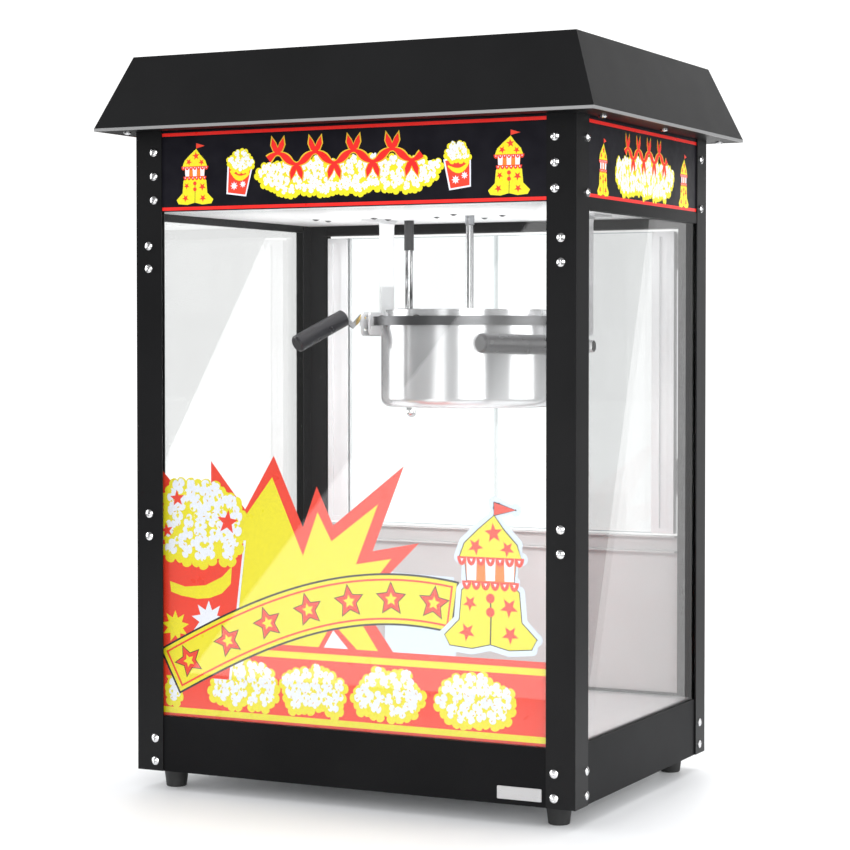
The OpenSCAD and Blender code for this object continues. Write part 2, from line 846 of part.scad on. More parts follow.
// Trunnion brackets: two webs on the shell, an upright plate and the pin in the hanger
module kettle_brackets() {
  plate_in = hanger_x - 4.5;
  plate_t = 2.5;
  low_z = 476.5;
  web_top = band_z - 0.7;
  color("#d8d8d8") at_kettle() for (s = [-1, 1]) mirror([s > 0 ? 0 : 1, 0, 0]) difference() {
    union() {
      translate([plate_in - plate_t, 0, 0]) in_yz(plate_t)
        round_rect([-15, low_z], [15, 501], 4);
      for (y = [-13, 10.5]) block([90, y, low_z], [plate_in - plate_t, y + 2.5, web_top]);
      intersection() {
        translate([0, 0, low_z]) cylinder(r = shell_r + 2, h = web_top - low_z);
        block([80, -15, low_z - 1], [100, 15, web_top + 1]);
      }
      translate([plate_in, 0, pivot_z]) rotate([0, 90, 0])
        cylinder(r = trunnion_r, h = s < 0 ? 10.5 : 14);
    }
    translate([0, 0, low_z - 5]) cylinder(r = shell_r, h = 30);
    if (s < 0) translate([plate_in + 8, 0, pivot_z]) rotate([0, 90, 0])
      cylinder(r = left_pin_r, h = 8);
    if (s > 0) translate([plate_in + 10, 0, pivot_z]) rotate([0, 90, 0])
      cylinder(r = right_pin_r, h = 8);
  }
}

// Hangers from the ceiling: an L-shaped plate with slots and a folded foot at the top
module kettle_hangers() {
  low_y = kettle_y - 22;
  strip_y = kettle_y + 22;
  high_y = kettle_y + 54;
  top_z = ceiling_z - sheet;
  flare = 8;
  color("#dadada") at_kettle() for (s = [-1, 1]) mirror([s > 0 ? 0 : 1, 0, 0])
    translate([0, -kettle_y, 0]) difference() {
      union() {
        translate([hanger_x - 1, 0, 0]) in_yz(2) {
          round_rect([low_y, 475.5], [high_y, 501.5], 6);
          translate([strip_y, 480]) square([high_y - strip_y, top_z - 480]);
          for (edge = [[strip_y, -1], [high_y, 1]]) difference() {
            translate([edge[0] + (edge[1] < 0 ? -flare : 0), top_z - flare])
              square([flare, flare]);
            translate([edge[0] + edge[1] * flare, top_z - flare]) circle(flare);
          }
        }
        block([hanger_x - 1, strip_y - flare, top_z],
              [hanger_x + 19, high_y + flare, ceiling_z]);
      }
      translate([hanger_x - 2, kettle_y, pivot_z]) rotate([0, 90, 0])
        cylinder(r = bush_r, h = 4);
      for (slot = [[low_y + 4, 494], [low_y + 4, 481], [strip_y, 494]])
        translate([hanger_x - 2, 0, 0]) in_yz(4)
          translate([slot[0], slot[1]]) square([8, 2.4]);
    }
}

// Flanged plain bearings in the hangers
module trunnion_bushes() {
  color("#c8a040") at_kettle() for (s = [-1, 1]) mirror([s > 0 ? 0 : 1, 0, 0])
    translate([hanger_x, 0, pivot_z]) rotate([0, 90, 0]) difference() {
      union() {
        translate([0, 0, -1]) cylinder(r = bush_r, h = 2);
        translate([0, 0, 1]) cylinder(r = 11, h = 1.5);
      }
      translate([0, 0, -2]) cylinder(r = trunnion_r + run, h = 6);
    }
}

// Points along the line from a to b
function along(a, b, d) = a + (b - a) * d / norm(b - a);

// Bent strap from the left pin into its grip, drawn as (outwards, Z)
module left_strap() {
  translate([left_pin_end, 0, 0]) rotate(left_turn) translate([0, left_strap_t / 2, 0])
    in_xz(left_strap_t)
      polygon([[-3.5, 486], [-3.5, 499.5], [2.5, 499.5], [12, 489.8], [22.5, 497.5],
        [38.8, 489.8], [37.5, 487.1], [25, 493], [12.2, 483.6], [3, 492], [3, 486]]);
}

// Rod from the eye in the right arm into its grip
module right_rod() {
  bar(right_eye, along(right_eye, right_tip, right_grip_start + right_bore), right_rod_r);
}

module handle_rods() {
  arm_in = 129.5;
  pin_in = 125.5;
  eye_half = 3;
  color("#d0d0d0") at_kettle() {
    translate([left_pin_end, 0, pivot_z]) rotate([0, 90, 0]) cylinder(r = left_pin_r, h = 6.5);
    left_strap();
    translate([pin_in, 0, pivot_z]) rotate([0, 90, 0]) cylinder(r = right_pin_r, h = 4);
    translate([arm_in, 0, 0]) in_yz(arm_t) round_rect([-9, 456], [9, 499], 4);
    translate(right_eye) rotate([0, 90, 0]) {
      translate([0, 0, -eye_half]) cylinder(r = 7, h = 2 * eye_half);
      translate([0, 0, eye_half]) cylinder(r = 6.5, h = 5.5, $fn = 6);
    }
    right_rod();
  }
}

// A grip of radius r from a to b, with chamfered ends
module grip(a, b, r) {
  d = b - a;
  length = norm(d);
  translate(a) rotate([0, acos(d[2] / length), atan2(d[1], d[0])])
    rotate_extrude() polygon([[0, 0], [r - 1.5, 0], [r, 1.5], [r, length - 2], [r - 2, length],
      [0, length]]);
}

module handle_grips() {
  right_a = along(right_eye, right_tip, right_grip_start);
  color("#26262a") at_kettle() {
    difference() {
      grip(left_grip_a, left_grip_b, left_grip_r);
      left_strap();
    }
    difference() {
      grip(right_a, right_tip, right_grip_r);
      right_rod();
    }
  }
}

// ---------- drive ----------

// Stirrer: flat blades near the pot floor, hub, long shaft and a flat tang at the top
module agitator() {
  floor_z = pot_z + sheet;
  color("#dcdcdc") at_kettle() {
    translate([0, 0, floor_z + 1]) cylinder(r = 7, h = 12);
    for (turn = [0, 180]) rotate(turn) {
      block([5, -1.5, floor_z + 1.5], [74, 1.5, floor_z + 7]);
      block([71, -1.5, floor_z + 7], [74, 1.5, floor_z + 24]);
      rotate(55) block([5, -1.5, floor_z + 1.5], [50, 1.5, floor_z + 6]);
    }
    translate([0, 0, floor_z + 8]) cylinder(r = shaft_r, h = tang_z - floor_z - 8);
    block([-tang_t / 2, -4, tang_z - 1], [tang_t / 2, 4, tang_top]);
  }
}

// Slotted coupler on the output shaft of the gear motor
module drive_coupler() {
  color("#a8a8a8") at_kettle() difference() {
    translate([0, 0, tang_z + tang_gap]) cylinder(r = coupler_r, h = ceiling_z + 17 - tang_z);
    block([-tang_t / 2 - 0.1, -12, tang_z], [tang_t / 2 + 0.1, 12, tang_top + tang_gap]);
  }
}

module gear_motor() {
  box_z = ceiling_z + sheet;
  color("#7c8084") at_kettle() {
    difference() {
      block([-motor_half, -motor_half, box_z], [motor_half, motor_half, box_z + motor_h]);
      translate([0, 0, box_z - 1]) cylinder(r = coupler_r + run, h = 18);
    }
    translate([motor_half, 0, box_z + motor_up]) rotate([0, 90, 0]) {
      cylinder(r = motor_r, h = 70);
      translate([0, 0, 70]) cylinder(r = 9, h = 5);
    }
  }
}

module conduit() {
  color("#d8d8d8") translate([conduit_at[0], conduit_at[1], conduit_z]) difference() {
    cylinder(r = conduit_r, h = ceiling_z - conduit_z);
    translate([0, 0, -1]) cylinder(r = conduit_bore, h = 120);
  }
}

// Sleeve on the upper part of the conduit and the terminal box at its lower end
module conduit_fittings() {
  color("#161616") translate([conduit_at[0], conduit_at[1], 0]) {
    difference() {
      translate([0, 0, sleeve_z]) cylinder(r = sleeve_r, h = ceiling_z - sleeve_z);
      translate([0, 0, sleeve_z - 1]) cylinder(r = conduit_r, h = 40);
    }
    difference() {
      block([-10, -9, terminal_z[0]], [8.5, 11, terminal_z[1]]);
      translate([0, 0, conduit_z]) cylinder(r = conduit_r, h = 10);
    }
  }
}

module lamp_holder() {
  color("#e8e4da") translate([lamp_at[0], lamp_at[1], 0]) {
    block([-32, -15, ceiling_z + sheet], [-28, 15, 655]);
    block([-28, -15, ceiling_z + sheet], [-6, 15, ceiling_z + 2 * sheet]);
    difference() {
      translate([-28, 0, lamp_z]) rotate([0, 90, 0]) cylinder(r = 14, h = 24);
      translate([-22, 0, lamp_z]) rotate([0, 90, 0]) cylinder(r = 10, h = 20);
    }
  }
}

module lamp_bulb() {
  color("#fff4d0") translate([lamp_at[0], lamp_at[1], lamp_z]) {
    translate([-21, 0, 0]) rotate([0, 90, 0]) cylinder(r = 9.9, h = 34);
    translate([28, 0, 0]) sphere(20);
  }
}

post_front_left();
post_front_right();
post_rear_left();
post_rear_right();
base_front_panel();
base_left_panel();
base_right_panel();
base_rear_panel();
base_pan();
feet();
floor_plate();
roof_shell();
roof_underside();
ceiling_plate();
front_sign();
left_sign();
right_sign();
rear_top_panel();
side_top_rails();
front_glass();
left_glass();
right_glass();
rear_middle_rail();
rear_lower_panel();
door_hinges();
switch_bezels();
power_inlet();
nameplate();
frame_screws();
kettle_hangers();
trunnion_bushes();
gear_motor();
conduit();
conduit_fittings();
lamp_holder();
lamp_bulb();
crumb_tray();
left_door_stile();
left_door_pane();
left_door_knob();
right_door_stile();
right_door_pane();
right_door_knob();
kettle_shell();
kettle_pot();
kettle_band();
heater_element();
kettle_fasteners();
kettle_crossbar();
kettle_brackets();
handle_rods();
handle_grips();
front_lid();
rear_lid();
agitator();
drive_coupler();
motor_switch();
heat_switch();
light_switch();
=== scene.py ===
"""Looks of a tabletop popcorn maker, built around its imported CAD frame. All lengths are in metres."""

import math
import random

import bpy
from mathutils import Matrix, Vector


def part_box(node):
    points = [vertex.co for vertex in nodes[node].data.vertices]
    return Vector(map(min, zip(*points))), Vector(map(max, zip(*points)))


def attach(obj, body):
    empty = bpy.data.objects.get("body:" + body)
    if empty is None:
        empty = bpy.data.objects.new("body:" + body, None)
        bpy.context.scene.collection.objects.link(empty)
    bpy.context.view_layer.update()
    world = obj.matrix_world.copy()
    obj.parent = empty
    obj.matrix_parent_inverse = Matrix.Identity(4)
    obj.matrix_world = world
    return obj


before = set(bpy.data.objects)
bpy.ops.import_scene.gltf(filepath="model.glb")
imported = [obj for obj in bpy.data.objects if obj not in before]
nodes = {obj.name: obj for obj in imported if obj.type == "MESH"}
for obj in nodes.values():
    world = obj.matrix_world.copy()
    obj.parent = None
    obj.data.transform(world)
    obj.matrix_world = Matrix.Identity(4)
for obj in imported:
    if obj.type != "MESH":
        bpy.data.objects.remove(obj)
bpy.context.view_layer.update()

MM = 0.001


# ---------- material building blocks ----------

def new_material(name):
    """A material with its node tree and its Principled shader."""
    made = bpy.data.materials.new(name)
    made.use_nodes = True
    tree = made.node_tree
    return made, tree, tree.nodes["Principled BSDF"]


def noise(tree, scale, detail, roughness=0.5, stretch=(1, 1, 1)):
    """A noise texture in object space; stretch scales each axis."""
    where = tree.nodes.new("ShaderNodeTexCoord")
    mapping = tree.nodes.new("ShaderNodeMapping")
    mapping.inputs["Scale"].default_value = stretch
    tree.links.new(where.outputs["Object"], mapping.inputs["Vector"])
    texture = tree.nodes.new("ShaderNodeTexNoise")
    texture.inputs["Scale"].default_value = scale
    texture.inputs["Detail"].default_value = detail
    texture.inputs["Roughness"].default_value = roughness
    tree.links.new(mapping.outputs["Vector"], texture.inputs["Vector"])
    return texture.outputs["Fac"]


def to_range(tree, value, low, high, start=0.3, end=0.7):
    """Maps value from start..end to low..high."""
    ranged = tree.nodes.new("ShaderNodeMapRange")
    ranged.inputs["From Min"].default_value = start
    ranged.inputs["From Max"].default_value = end
    ranged.inputs["To Min"].default_value = low
    ranged.inputs["To Max"].default_value = high
    tree.links.new(value, ranged.inputs["Value"])
    return ranged.outputs["Result"]


def between(tree, value, dark, light):
    """A colour that goes from dark to light with value."""
    mix = tree.nodes.new("ShaderNodeMix")
    mix.data_type = "RGBA"
    mix.inputs["A"].default_value = (*dark, 1)
    mix.inputs["B"].default_value = (*light, 1)
    tree.links.new(value, mix.inputs["Factor"])
    return mix.outputs["Result"]


def bump(tree, shader, height, depth, strength):
    """Raises the surface by height times depth, as strongly as strength says."""
    raised = tree.nodes.new("ShaderNodeBump")
    raised.inputs["Strength"].default_value = strength
    raised.inputs["Distance"].default_value = depth
    tree.links.new(height, raised.inputs["Height"])
    tree.links.new(raised.outputs["Normal"], shader.inputs["Normal"])


def powder_coat(name, colour, shine=0.16):
    """Satin powder coat: fine orange peel, faint cloudiness, a few duller patches."""
    made, tree, shader = new_material(name)
    shader.inputs["Specular IOR Level"].default_value = shine
    cloud = to_range(tree, noise(tree, 9, 4), 0, 1)
    lighter = tuple(c * 1.25 + 0.001 for c in colour)
    tree.links.new(between(tree, cloud, colour, lighter), shader.inputs["Base Color"])
    dull = to_range(tree, noise(tree, 26, 5, 0.6), 0.368, 0.398)
    tree.links.new(dull, shader.inputs["Roughness"])
    bump(tree, shader, noise(tree, 1100, 2), 0.00012, 0.5)
    return made


def metal(name, colour, rough, grain=(1, 1, 1), grain_scale=60, depth=0.00004, spread=0.06,
          streak_and_reflection=0.9):
    """Metal with a grain along the axes that grain scales least, darkened in random patches; a
    darkening factor below 0.9 instead paints dark streaks along the grain, a painted reflection of dark
    surroundings.
    """
    made, tree, shader = new_material(name)
    shader.inputs["Metallic"].default_value = 1.0
    lines = noise(tree, grain_scale, 5, 0.65, grain)
    stain_and_reflection = to_range(tree, lines if streak_and_reflection < 0.9 else noise(tree, 7, 3), 0, 1, 0.4, 0.6)
    darker = tuple(c * streak_and_reflection for c in colour)
    tree.links.new(between(tree, stain_and_reflection, darker, colour), shader.inputs["Base Color"])
    tree.links.new(to_range(tree, lines, rough - spread, rough + spread), shader.inputs["Roughness"])
    bump(tree, shader, lines, depth, 0.6)
    return made


def plastic(name, colour, rough=0.42, grain_scale=1500, depth=0.00006, coat=0.0):
    """Moulded plastic or rubber with a fine texture and slight changes of tone."""
    made, tree, shader = new_material(name)
    tone = to_range(tree, noise(tree, 35, 3), 0, 1)
    lighter = tuple(min(1, c * 1.25 + 0.004) for c in colour)
    tree.links.new(between(tree, tone, colour, lighter), shader.inputs["Base Color"])
    tree.links.new(to_range(tree, noise(tree, 90, 3), rough - 0.05, rough + 0.05),
                   shader.inputs["Roughness"])
    shader.inputs["Coat Weight"].default_value = coat
    bump(tree, shader, noise(tree, grain_scale, 2), depth, 0.6)
    return made


def set_input(look, name, value):
    """Sets one value of a material's Principled shader."""
    look.node_tree.nodes["Principled BSDF"].inputs[name].default_value = value


def pane(name, tint, mirror, edge_mirror):
    """Thin clear glass: it mirrors a share of mirror, which grows to edge_mirror at grazing angles."""
    made, tree, shader = new_material(name)
    tree.nodes.remove(shader)
    clear = tree.nodes.new("ShaderNodeBsdfTransparent")
    clear.inputs["Color"].default_value = (*tint, 1)
    gloss = tree.nodes.new("ShaderNodeBsdfGlossy")
    gloss.inputs["Roughness"].default_value = 0.015
    edge = tree.nodes.new("ShaderNodeLayerWeight")
    edge.inputs["Blend"].default_value = 0.22
    share = to_range(tree, edge.outputs["Fresnel"], mirror, edge_mirror, 0, 1)
    mix = tree.nodes.new("ShaderNodeMixShader")
    tree.links.new(share, mix.inputs["Fac"])
    tree.links.new(clear.outputs["BSDF"], mix.inputs[1])
    tree.links.new(gloss.outputs["BSDF"], mix.inputs[2])
    tree.links.new(mix.outputs["Shader"], tree.nodes["Material Output"].inputs["Surface"])
    return made


def by_height(look, height, colour, metallic, above):
    """Gives look another colour and metallic value above or below a height."""
    blur = 0.2 * MM
    tree = look.node_tree
    shader = tree.nodes["Principled BSDF"]
    where = tree.nodes.new("ShaderNodeTexCoord")
    parts = tree.nodes.new("ShaderNodeSeparateXYZ")
    tree.links.new(where.outputs["Object"], parts.inputs["Vector"])
    low, high = (0, 1) if above else (1, 0)
    share = to_range(tree, parts.outputs["Z"], low, high, height - blur, height + blur)
    base = shader.inputs["Metallic"].default_value
    tree.links.new(to_range(tree, share, base, metallic, 0, 1), shader.inputs["Metallic"])
    mix = tree.nodes.new("ShaderNodeMix")
    mix.data_type = "RGBA"
    tree.links.new(share, mix.inputs["Factor"])
    tree.links.new(shader.inputs["Base Color"].links[0].from_socket, mix.inputs["A"])
    mix.inputs["B"].default_value = (*colour, 1)
    tree.links.new(mix.outputs["Result"], shader.inputs["Base Color"])


def cut_edges(look, node):
    """Tints an upright pane's outermost millimetre, as its cut edges let less light through."""
    width = 1.0 * MM
    tint = (0.76, 0.79, 0.8)
    tree = look.node_tree
    low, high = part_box(node)
    away = tree.nodes.new("ShaderNodeTexCoord").outputs["Object"]
    half = (high - low) / 2
    for operation, value in (("SUBTRACT", (low + high) / 2), ("ABSOLUTE", None), ("SUBTRACT", half)):
        step = tree.nodes.new("ShaderNodeVectorMath")
        step.operation = operation
        tree.links.new(away, step.inputs[0])
        if value:
            step.inputs[1].default_value = value
        away = step.outputs["Vector"]
    parts = tree.nodes.new("ShaderNodeSeparateXYZ")
    tree.links.new(away, parts.inputs["Vector"])
    nearest = tree.nodes.new("ShaderNodeMath")
    nearest.operation = "MAXIMUM"
    tree.links.new(parts.outputs["X"], nearest.inputs[0])
    tree.links.new(parts.outputs["Z"], nearest.inputs[1])
    share = to_range(tree, nearest.outputs["Value"], 0, 1, -width, -0.7 * width)
    clear = next(n for n in tree.nodes if n.bl_idname == "ShaderNodeBsdfTransparent")
    whole = tuple(clear.inputs["Color"].default_value)[:3]
    tree.links.new(between(tree, share, whole, tint), clear.inputs["Color"])


def ink(name, colour):
    """Screen-printed ink with a trace of grain."""
    made, tree, shader = new_material(name)
    grain = to_range(tree, noise(tree, 420, 4, 0.6), 0, 1)
    worn = tuple(c * 0.9 for c in colour)
    tree.links.new(between(tree, grain, worn, colour), shader.inputs["Base Color"])
    tree.links.new(to_range(tree, noise(tree, 60, 2), 0.27, 0.39), shader.inputs["Roughness"])
    bump(tree, shader, noise(tree, 2400, 2), 0.00002, 0.5)
    return made


# ---------- materials ----------

BLACK = (0.0055, 0.0055, 0.006)
coat_black = powder_coat("black_coat", BLACK)
roof_coat = powder_coat("roof_coat", BLACK, shine=0.3)
base_coat = powder_coat("base_coat", BLACK, shine=0.05)
steel_sheet = metal("stainless_sheet", (0.82, 0.82, 0.83), 0.07, (1, 40, 40), 20, 0.00002, 0.03)
tray_steel = metal("tray_steel", (0.6, 0.6, 0.61), 0.34, (1, 40, 40), 20)
ceiling_sheet = metal("stainless_ceiling", (0.9, 0.9, 0.9), 0.4, (1, 40, 40), 20)
kettle_steel = metal("kettle_steel", (0.74, 0.74, 0.75), 0.19, (1, 1, 60), 14, 0.00002, 0.04)
shaft_steel = metal("shaft_steel", (0.5, 0.5, 0.51), 0.18, (1, 1, 1), 200)
# Painted shade: the kettle band's steel is made dark to stand in for the shade of its rim channel
band_steel = metal("band_steel", (0.13, 0.13, 0.135), 0.32, (1, 1, 50), 14)
hanger_steel = metal("hanger_steel", (0.76, 0.76, 0.77), 0.34, (1, 30, 1), 30)
# Painted reflection: dark streaks down the conduit stand in for dark surroundings mirrored in its
# chrome
chrome_tube = metal("chrome_tube", (0.7, 0.7, 0.71), 0.12, (1, 1, 0.12), 230, streak_and_reflection=0.06)
zinc = metal("zinc_sheet", (0.58, 0.59, 0.6), 0.36, (1, 1, 1), 45)
grey_sheet = metal("grey_sheet", (0.56, 0.56, 0.56), 0.4, (1, 30, 30), 24)
stile_metal = metal("stile_aluminium", (0.8, 0.8, 0.81), 0.34, (12, 12, 1), 24)
screw_steel = metal("screw_steel", (0.8, 0.8, 0.81), 0.2, (1, 1, 1), 300)
kettle_screws = metal("kettle_screws", (0.8, 0.8, 0.81), 0.2, (1, 1, 1), 300)
rod_steel = metal("rod_steel", (0.85, 0.85, 0.86), 0.14, (1, 1, 1), 200)
brass = metal("bush_brass", (0.72, 0.52, 0.2), 0.28, (1, 1, 1), 150)
cast_grey = metal("motor_casting", (0.42, 0.43, 0.45), 0.5, (1, 1, 1), 220, 0.0002)
heater_alloy = metal("heater_alloy", (0.5, 0.5, 0.5), 0.45, (1, 1, 1), 260, 0.0002)
plate_metal = metal("nameplate_metal", (0.55, 0.55, 0.56), 0.32, (2, 2, 90), 20)
rubber = plastic("foot_rubber", (0.008, 0.008, 0.008), 0.62)
grip_plastic = plastic("grip_plastic", (0.006, 0.0055, 0.008), 0.3, 900, 0.000002)
dark_plastic = plastic("catch_plastic", (0.012, 0.012, 0.013), 0.45)
knob_plastic = plastic("knob_plastic", (0.012, 0.012, 0.012), 0.2, coat=0.4)
rocker_red = plastic("rocker_red", (0.42, 0.012, 0.012), 0.25, coat=0.4)
ceramic = plastic("lamp_ceramic", (0.8, 0.78, 0.72), 0.25, coat=0.3)
bulb_glass = plastic("lamp_glass", (0.92, 0.88, 0.78), 0.2, coat=0.6)
front_pane = pane("front_glass", (0.99, 0.995, 0.993), 0.045, 0.25)
left_pane = pane("left_glass", (0.98, 0.981, 0.98), 0.06, 0.26)
right_pane = pane("right_glass", (0.95, 0.951, 0.95), 0.04, 0.36)
left_acrylic = pane("left_acrylic", (0.975, 0.985, 0.985), 0.02, 0.3)
right_acrylic = pane("right_acrylic", (0.975, 0.985, 0.985), 0.02, 0.3)
cut_edges(left_acrylic, "left_door_pane")
cut_edges(right_acrylic, "right_door_pane")
sign_black = plastic("sign_black", (0.003, 0.0025, 0.006), 0.35, 900, 0.00002)

# Less than fully metallic, which keeps them pale; by_height starts from these values
for look, metallic in ((ceiling_sheet, 0.1), (grey_sheet, 0.15), (stile_metal, 0.2),
                       (steel_sheet, 0.4), (hanger_steel, 0.5), (kettle_steel, 0.7)):
    set_input(look, "Metallic", metallic)
set_input(sign_black, "Specular IOR Level", 0.2)

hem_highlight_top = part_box("roof_shell")[0].z + 3 * MM
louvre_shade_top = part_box("ceiling_plate")[1].z - 1.9 * MM
kettle_band_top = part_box("kettle_band")[1].z
# Painted highlight: the roof below this height, its lower hem, is pale grey and metallic to stand in
# for the light line along that edge
by_height(roof_coat, hem_highlight_top, (0.5, 0.5, 0.5), 0.7, False)
# Painted shade: the ceiling below this height, the louvres' undersides, is near-black to stand in for
# the shaded openings
by_height(ceiling_sheet, louvre_shade_top, (0.08, 0.08, 0.08), 0.2, False)
by_height(kettle_screws, kettle_band_top, (0.01, 0.01, 0.01), 0.2, True)

LOOKS = {
    roof_coat: ["roof_shell"],
    coat_black: ["post_front_left", "post_front_right", "post_rear_left", "post_rear_right",
                 "roof_underside", "rear_top_panel", "side_top_rails"],
    base_coat: ["base_front_panel", "base_left_panel", "base_right_panel", "base_rear_panel"],
    zinc: ["base_pan"],
    rubber: ["feet"],
    steel_sheet: ["floor_plate"],
    tray_steel: ["crumb_tray"],
    ceiling_sheet: ["ceiling_plate"],
    sign_black: ["front_sign", "left_sign", "right_sign"],
    front_pane: ["front_glass"],
    left_pane: ["left_glass"],
    right_pane: ["right_glass"],
    grey_sheet: ["rear_middle_rail", "rear_lower_panel", "door_hinges"],
    dark_plastic: ["switch_bezels", "power_inlet", "conduit_fittings"],
    plate_metal: ["nameplate"],
    screw_steel: ["frame_screws"],
    kettle_screws: ["kettle_fasteners"],
    hanger_steel: ["kettle_hangers", "kettle_brackets", "kettle_crossbar"],
    chrome_tube: ["conduit"],
    brass: ["trunnion_bushes"],
    cast_grey: ["gear_motor", "drive_coupler"],
    ceramic: ["lamp_holder"],
    bulb_glass: ["lamp_bulb"],
    stile_metal: ["left_door_stile", "right_door_stile"],
    left_acrylic: ["left_door_pane"],
    right_acrylic: ["right_door_pane"],
    knob_plastic: ["left_door_knob", "right_door_knob"],
    kettle_steel: ["kettle_shell", "kettle_pot", "front_lid", "rear_lid"],
    shaft_steel: ["agitator"],
    band_steel: ["kettle_band"],
    heater_alloy: ["heater_element"],
    rod_steel: ["handle_rods"],
    grip_plastic: ["handle_grips"],
    rocker_red: ["motor_switch", "heat_switch", "light_switch"],
}
for look, members in LOOKS.items():
    for member in members:
        mesh = nodes[member].data
        mesh.materials.clear()
        mesh.materials.append(look)


def soften(name, width):
    """Rounds the sharp edges of a CAD node with modifiers, which leave its mesh as it is."""
    weld = nodes[name].modifiers.new("weld", "WELD")
    weld.merge_threshold = 0.001 * MM
    bevel = nodes[name].modifiers.new("bevel", "BEVEL")
    bevel.width = width
    bevel.segments = 2
    bevel.limit_method = "ANGLE"
    bevel.angle_limit = math.radians(30)
    bevel.harden_normals = True


soften("roof_shell", 0.8 * MM)


# ---------- flat art ----------

class Art:
    """Flat shapes in one plane. Each is a STEP above those it covers; GAP is for the lowest."""

    STEP = 0.015 * MM
    GAP = 0.02 * MM

    def __init__(self, place):
        """place turns (across, up, out) into a point of the frame."""
        self.place = place
        self.points = []
        self.faces = []
        self.inks = []
        self.boxes = []

    def shapes(self, outlines, colour):
        """Filled outlines of (across, up) points in millimetres, all a level above what they cover."""
        touch = 0.01
        boxes = []
        for outline in outlines:
            across, up = zip(*outline)
            boxes.append((min(across) + touch, max(across) - touch, min(up) + touch, max(up) - touch))
        covered = [under for (low, high, bottom, top), under in self.boxes
                   if any(low < b[1] and b[0] < high and bottom < b[3] and b[2] < top for b in boxes)]
        level = 1 + max(covered, default=-1)
        self.boxes += [(box, level) for box in boxes]
        for outline in outlines:
            start = len(self.points)
            self.points += [self.place(a * MM, u * MM, level * self.STEP) for a, u in outline]
            self.faces.append(list(range(start, len(self.points))))
            self.inks.append(colour)

    def shape(self, outline, colour):
        """One filled outline."""
        self.shapes([outline], colour)

    def strip(self, line, widths, colour):
        """A stroke along line, with a width at each of its points."""
        sides = []
        for i, (a, u) in enumerate(line):
            before = line[max(i - 1, 0)]
            after = line[min(i + 1, len(line) - 1)]
            along = Vector((after[0] - before[0], after[1] - before[1]))
            along = along.normalized() if along.length > 1e-9 else Vector((1, 0))
            half = widths[i] / 2
            sides.append(((a - along.y * half, u + along.x * half),
                          (a + along.y * half, u - along.x * half)))
        self.shapes([[a, b, d, c] for (a, b), (c, d) in zip(sides, sides[1:])], colour)

    def build(self, name, facing):
        """Makes the mesh, with every face turned to facing, and lets it ride on the cabinet."""
        colours = list(dict.fromkeys(self.inks))
        mesh = bpy.data.meshes.new(name)
        mesh.from_pydata(self.points, [], self.faces)
        for colour in colours:
            mesh.materials.append(INKS[colour])
        for face, colour in zip(mesh.polygons, self.inks):
            face.material_index = colours.index(colour)
            if face.normal.dot(facing) < 0:
                face.flip()
        mesh.update()
        made = bpy.data.objects.new(name, mesh)
        bpy.context.scene.collection.objects.link(made)
        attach(made, "cabinet")
        return made


INKS = {
    "red": ink("ink_red", (0.86, 0.045, 0.016)),
    "sign_red": ink("ink_sign_red", (0.9, 0.012, 0.006)),
    "yellow": ink("ink_yellow", (0.84, 0.74, 0.008)),
    "gold": ink("ink_gold", (0.8, 0.5, 0.02)),
    "orange": ink("ink_orange", (0.85, 0.22, 0.015)),
    "white": ink("ink_white", (0.82, 0.84, 0.92)),
    "black": ink("ink_black", (0.012, 0.011, 0.02)),
    "pale": ink("ink_pale", (0.7, 0.78, 0.9)),
}


def ring(across, up, r_across, r_up=None, count=20, turn=0.0):
    """The outline of an ellipse."""
    r_up = r_across if r_up is None else r_up
    points = []
    for i in range(count):
        t = math.tau * i / count
        x, y = r_across * math.cos(t), r_up * math.sin(t)
        points.append((across + x * math.cos(turn) - y * math.sin(turn),
                       up + x * math.sin(turn) + y * math.cos(turn)))
    return points


def star(across, up, radius, count=5, inner=0.42, turn=0.0):
    """The outline of a star, one point upwards."""
    points = []
    for i in range(2 * count):
        t = math.pi / 2 + turn + math.pi * i / count
        r = radius if i % 2 == 0 else radius * inner
        points.append((across + r * math.cos(t), up + r * math.sin(t)))
    return points


def moved(points, across, up, turn=0.0, squeeze=1.0):
    """The points turned about 0, 0, squeezed sideways and moved."""
    c, s = math.cos(turn), math.sin(turn)
    return [(across + squeeze * (x * c - y * s), up + x * s + y * c) for x, y in points]


def cloud(across, up, radius, lobes, turn, squeeze=1.0, depth=0.26):
    """The puffy outline of one popped kernel."""
    points = []
    for i in range(7 * lobes):
        t = math.tau * i / (7 * lobes)
        r = radius * (1 - depth + depth * math.sqrt(abs(math.sin(lobes * t / 2))))
        points.append((across + squeeze * r * math.cos(t + turn), up + r * math.sin(t + turn)))
    return points


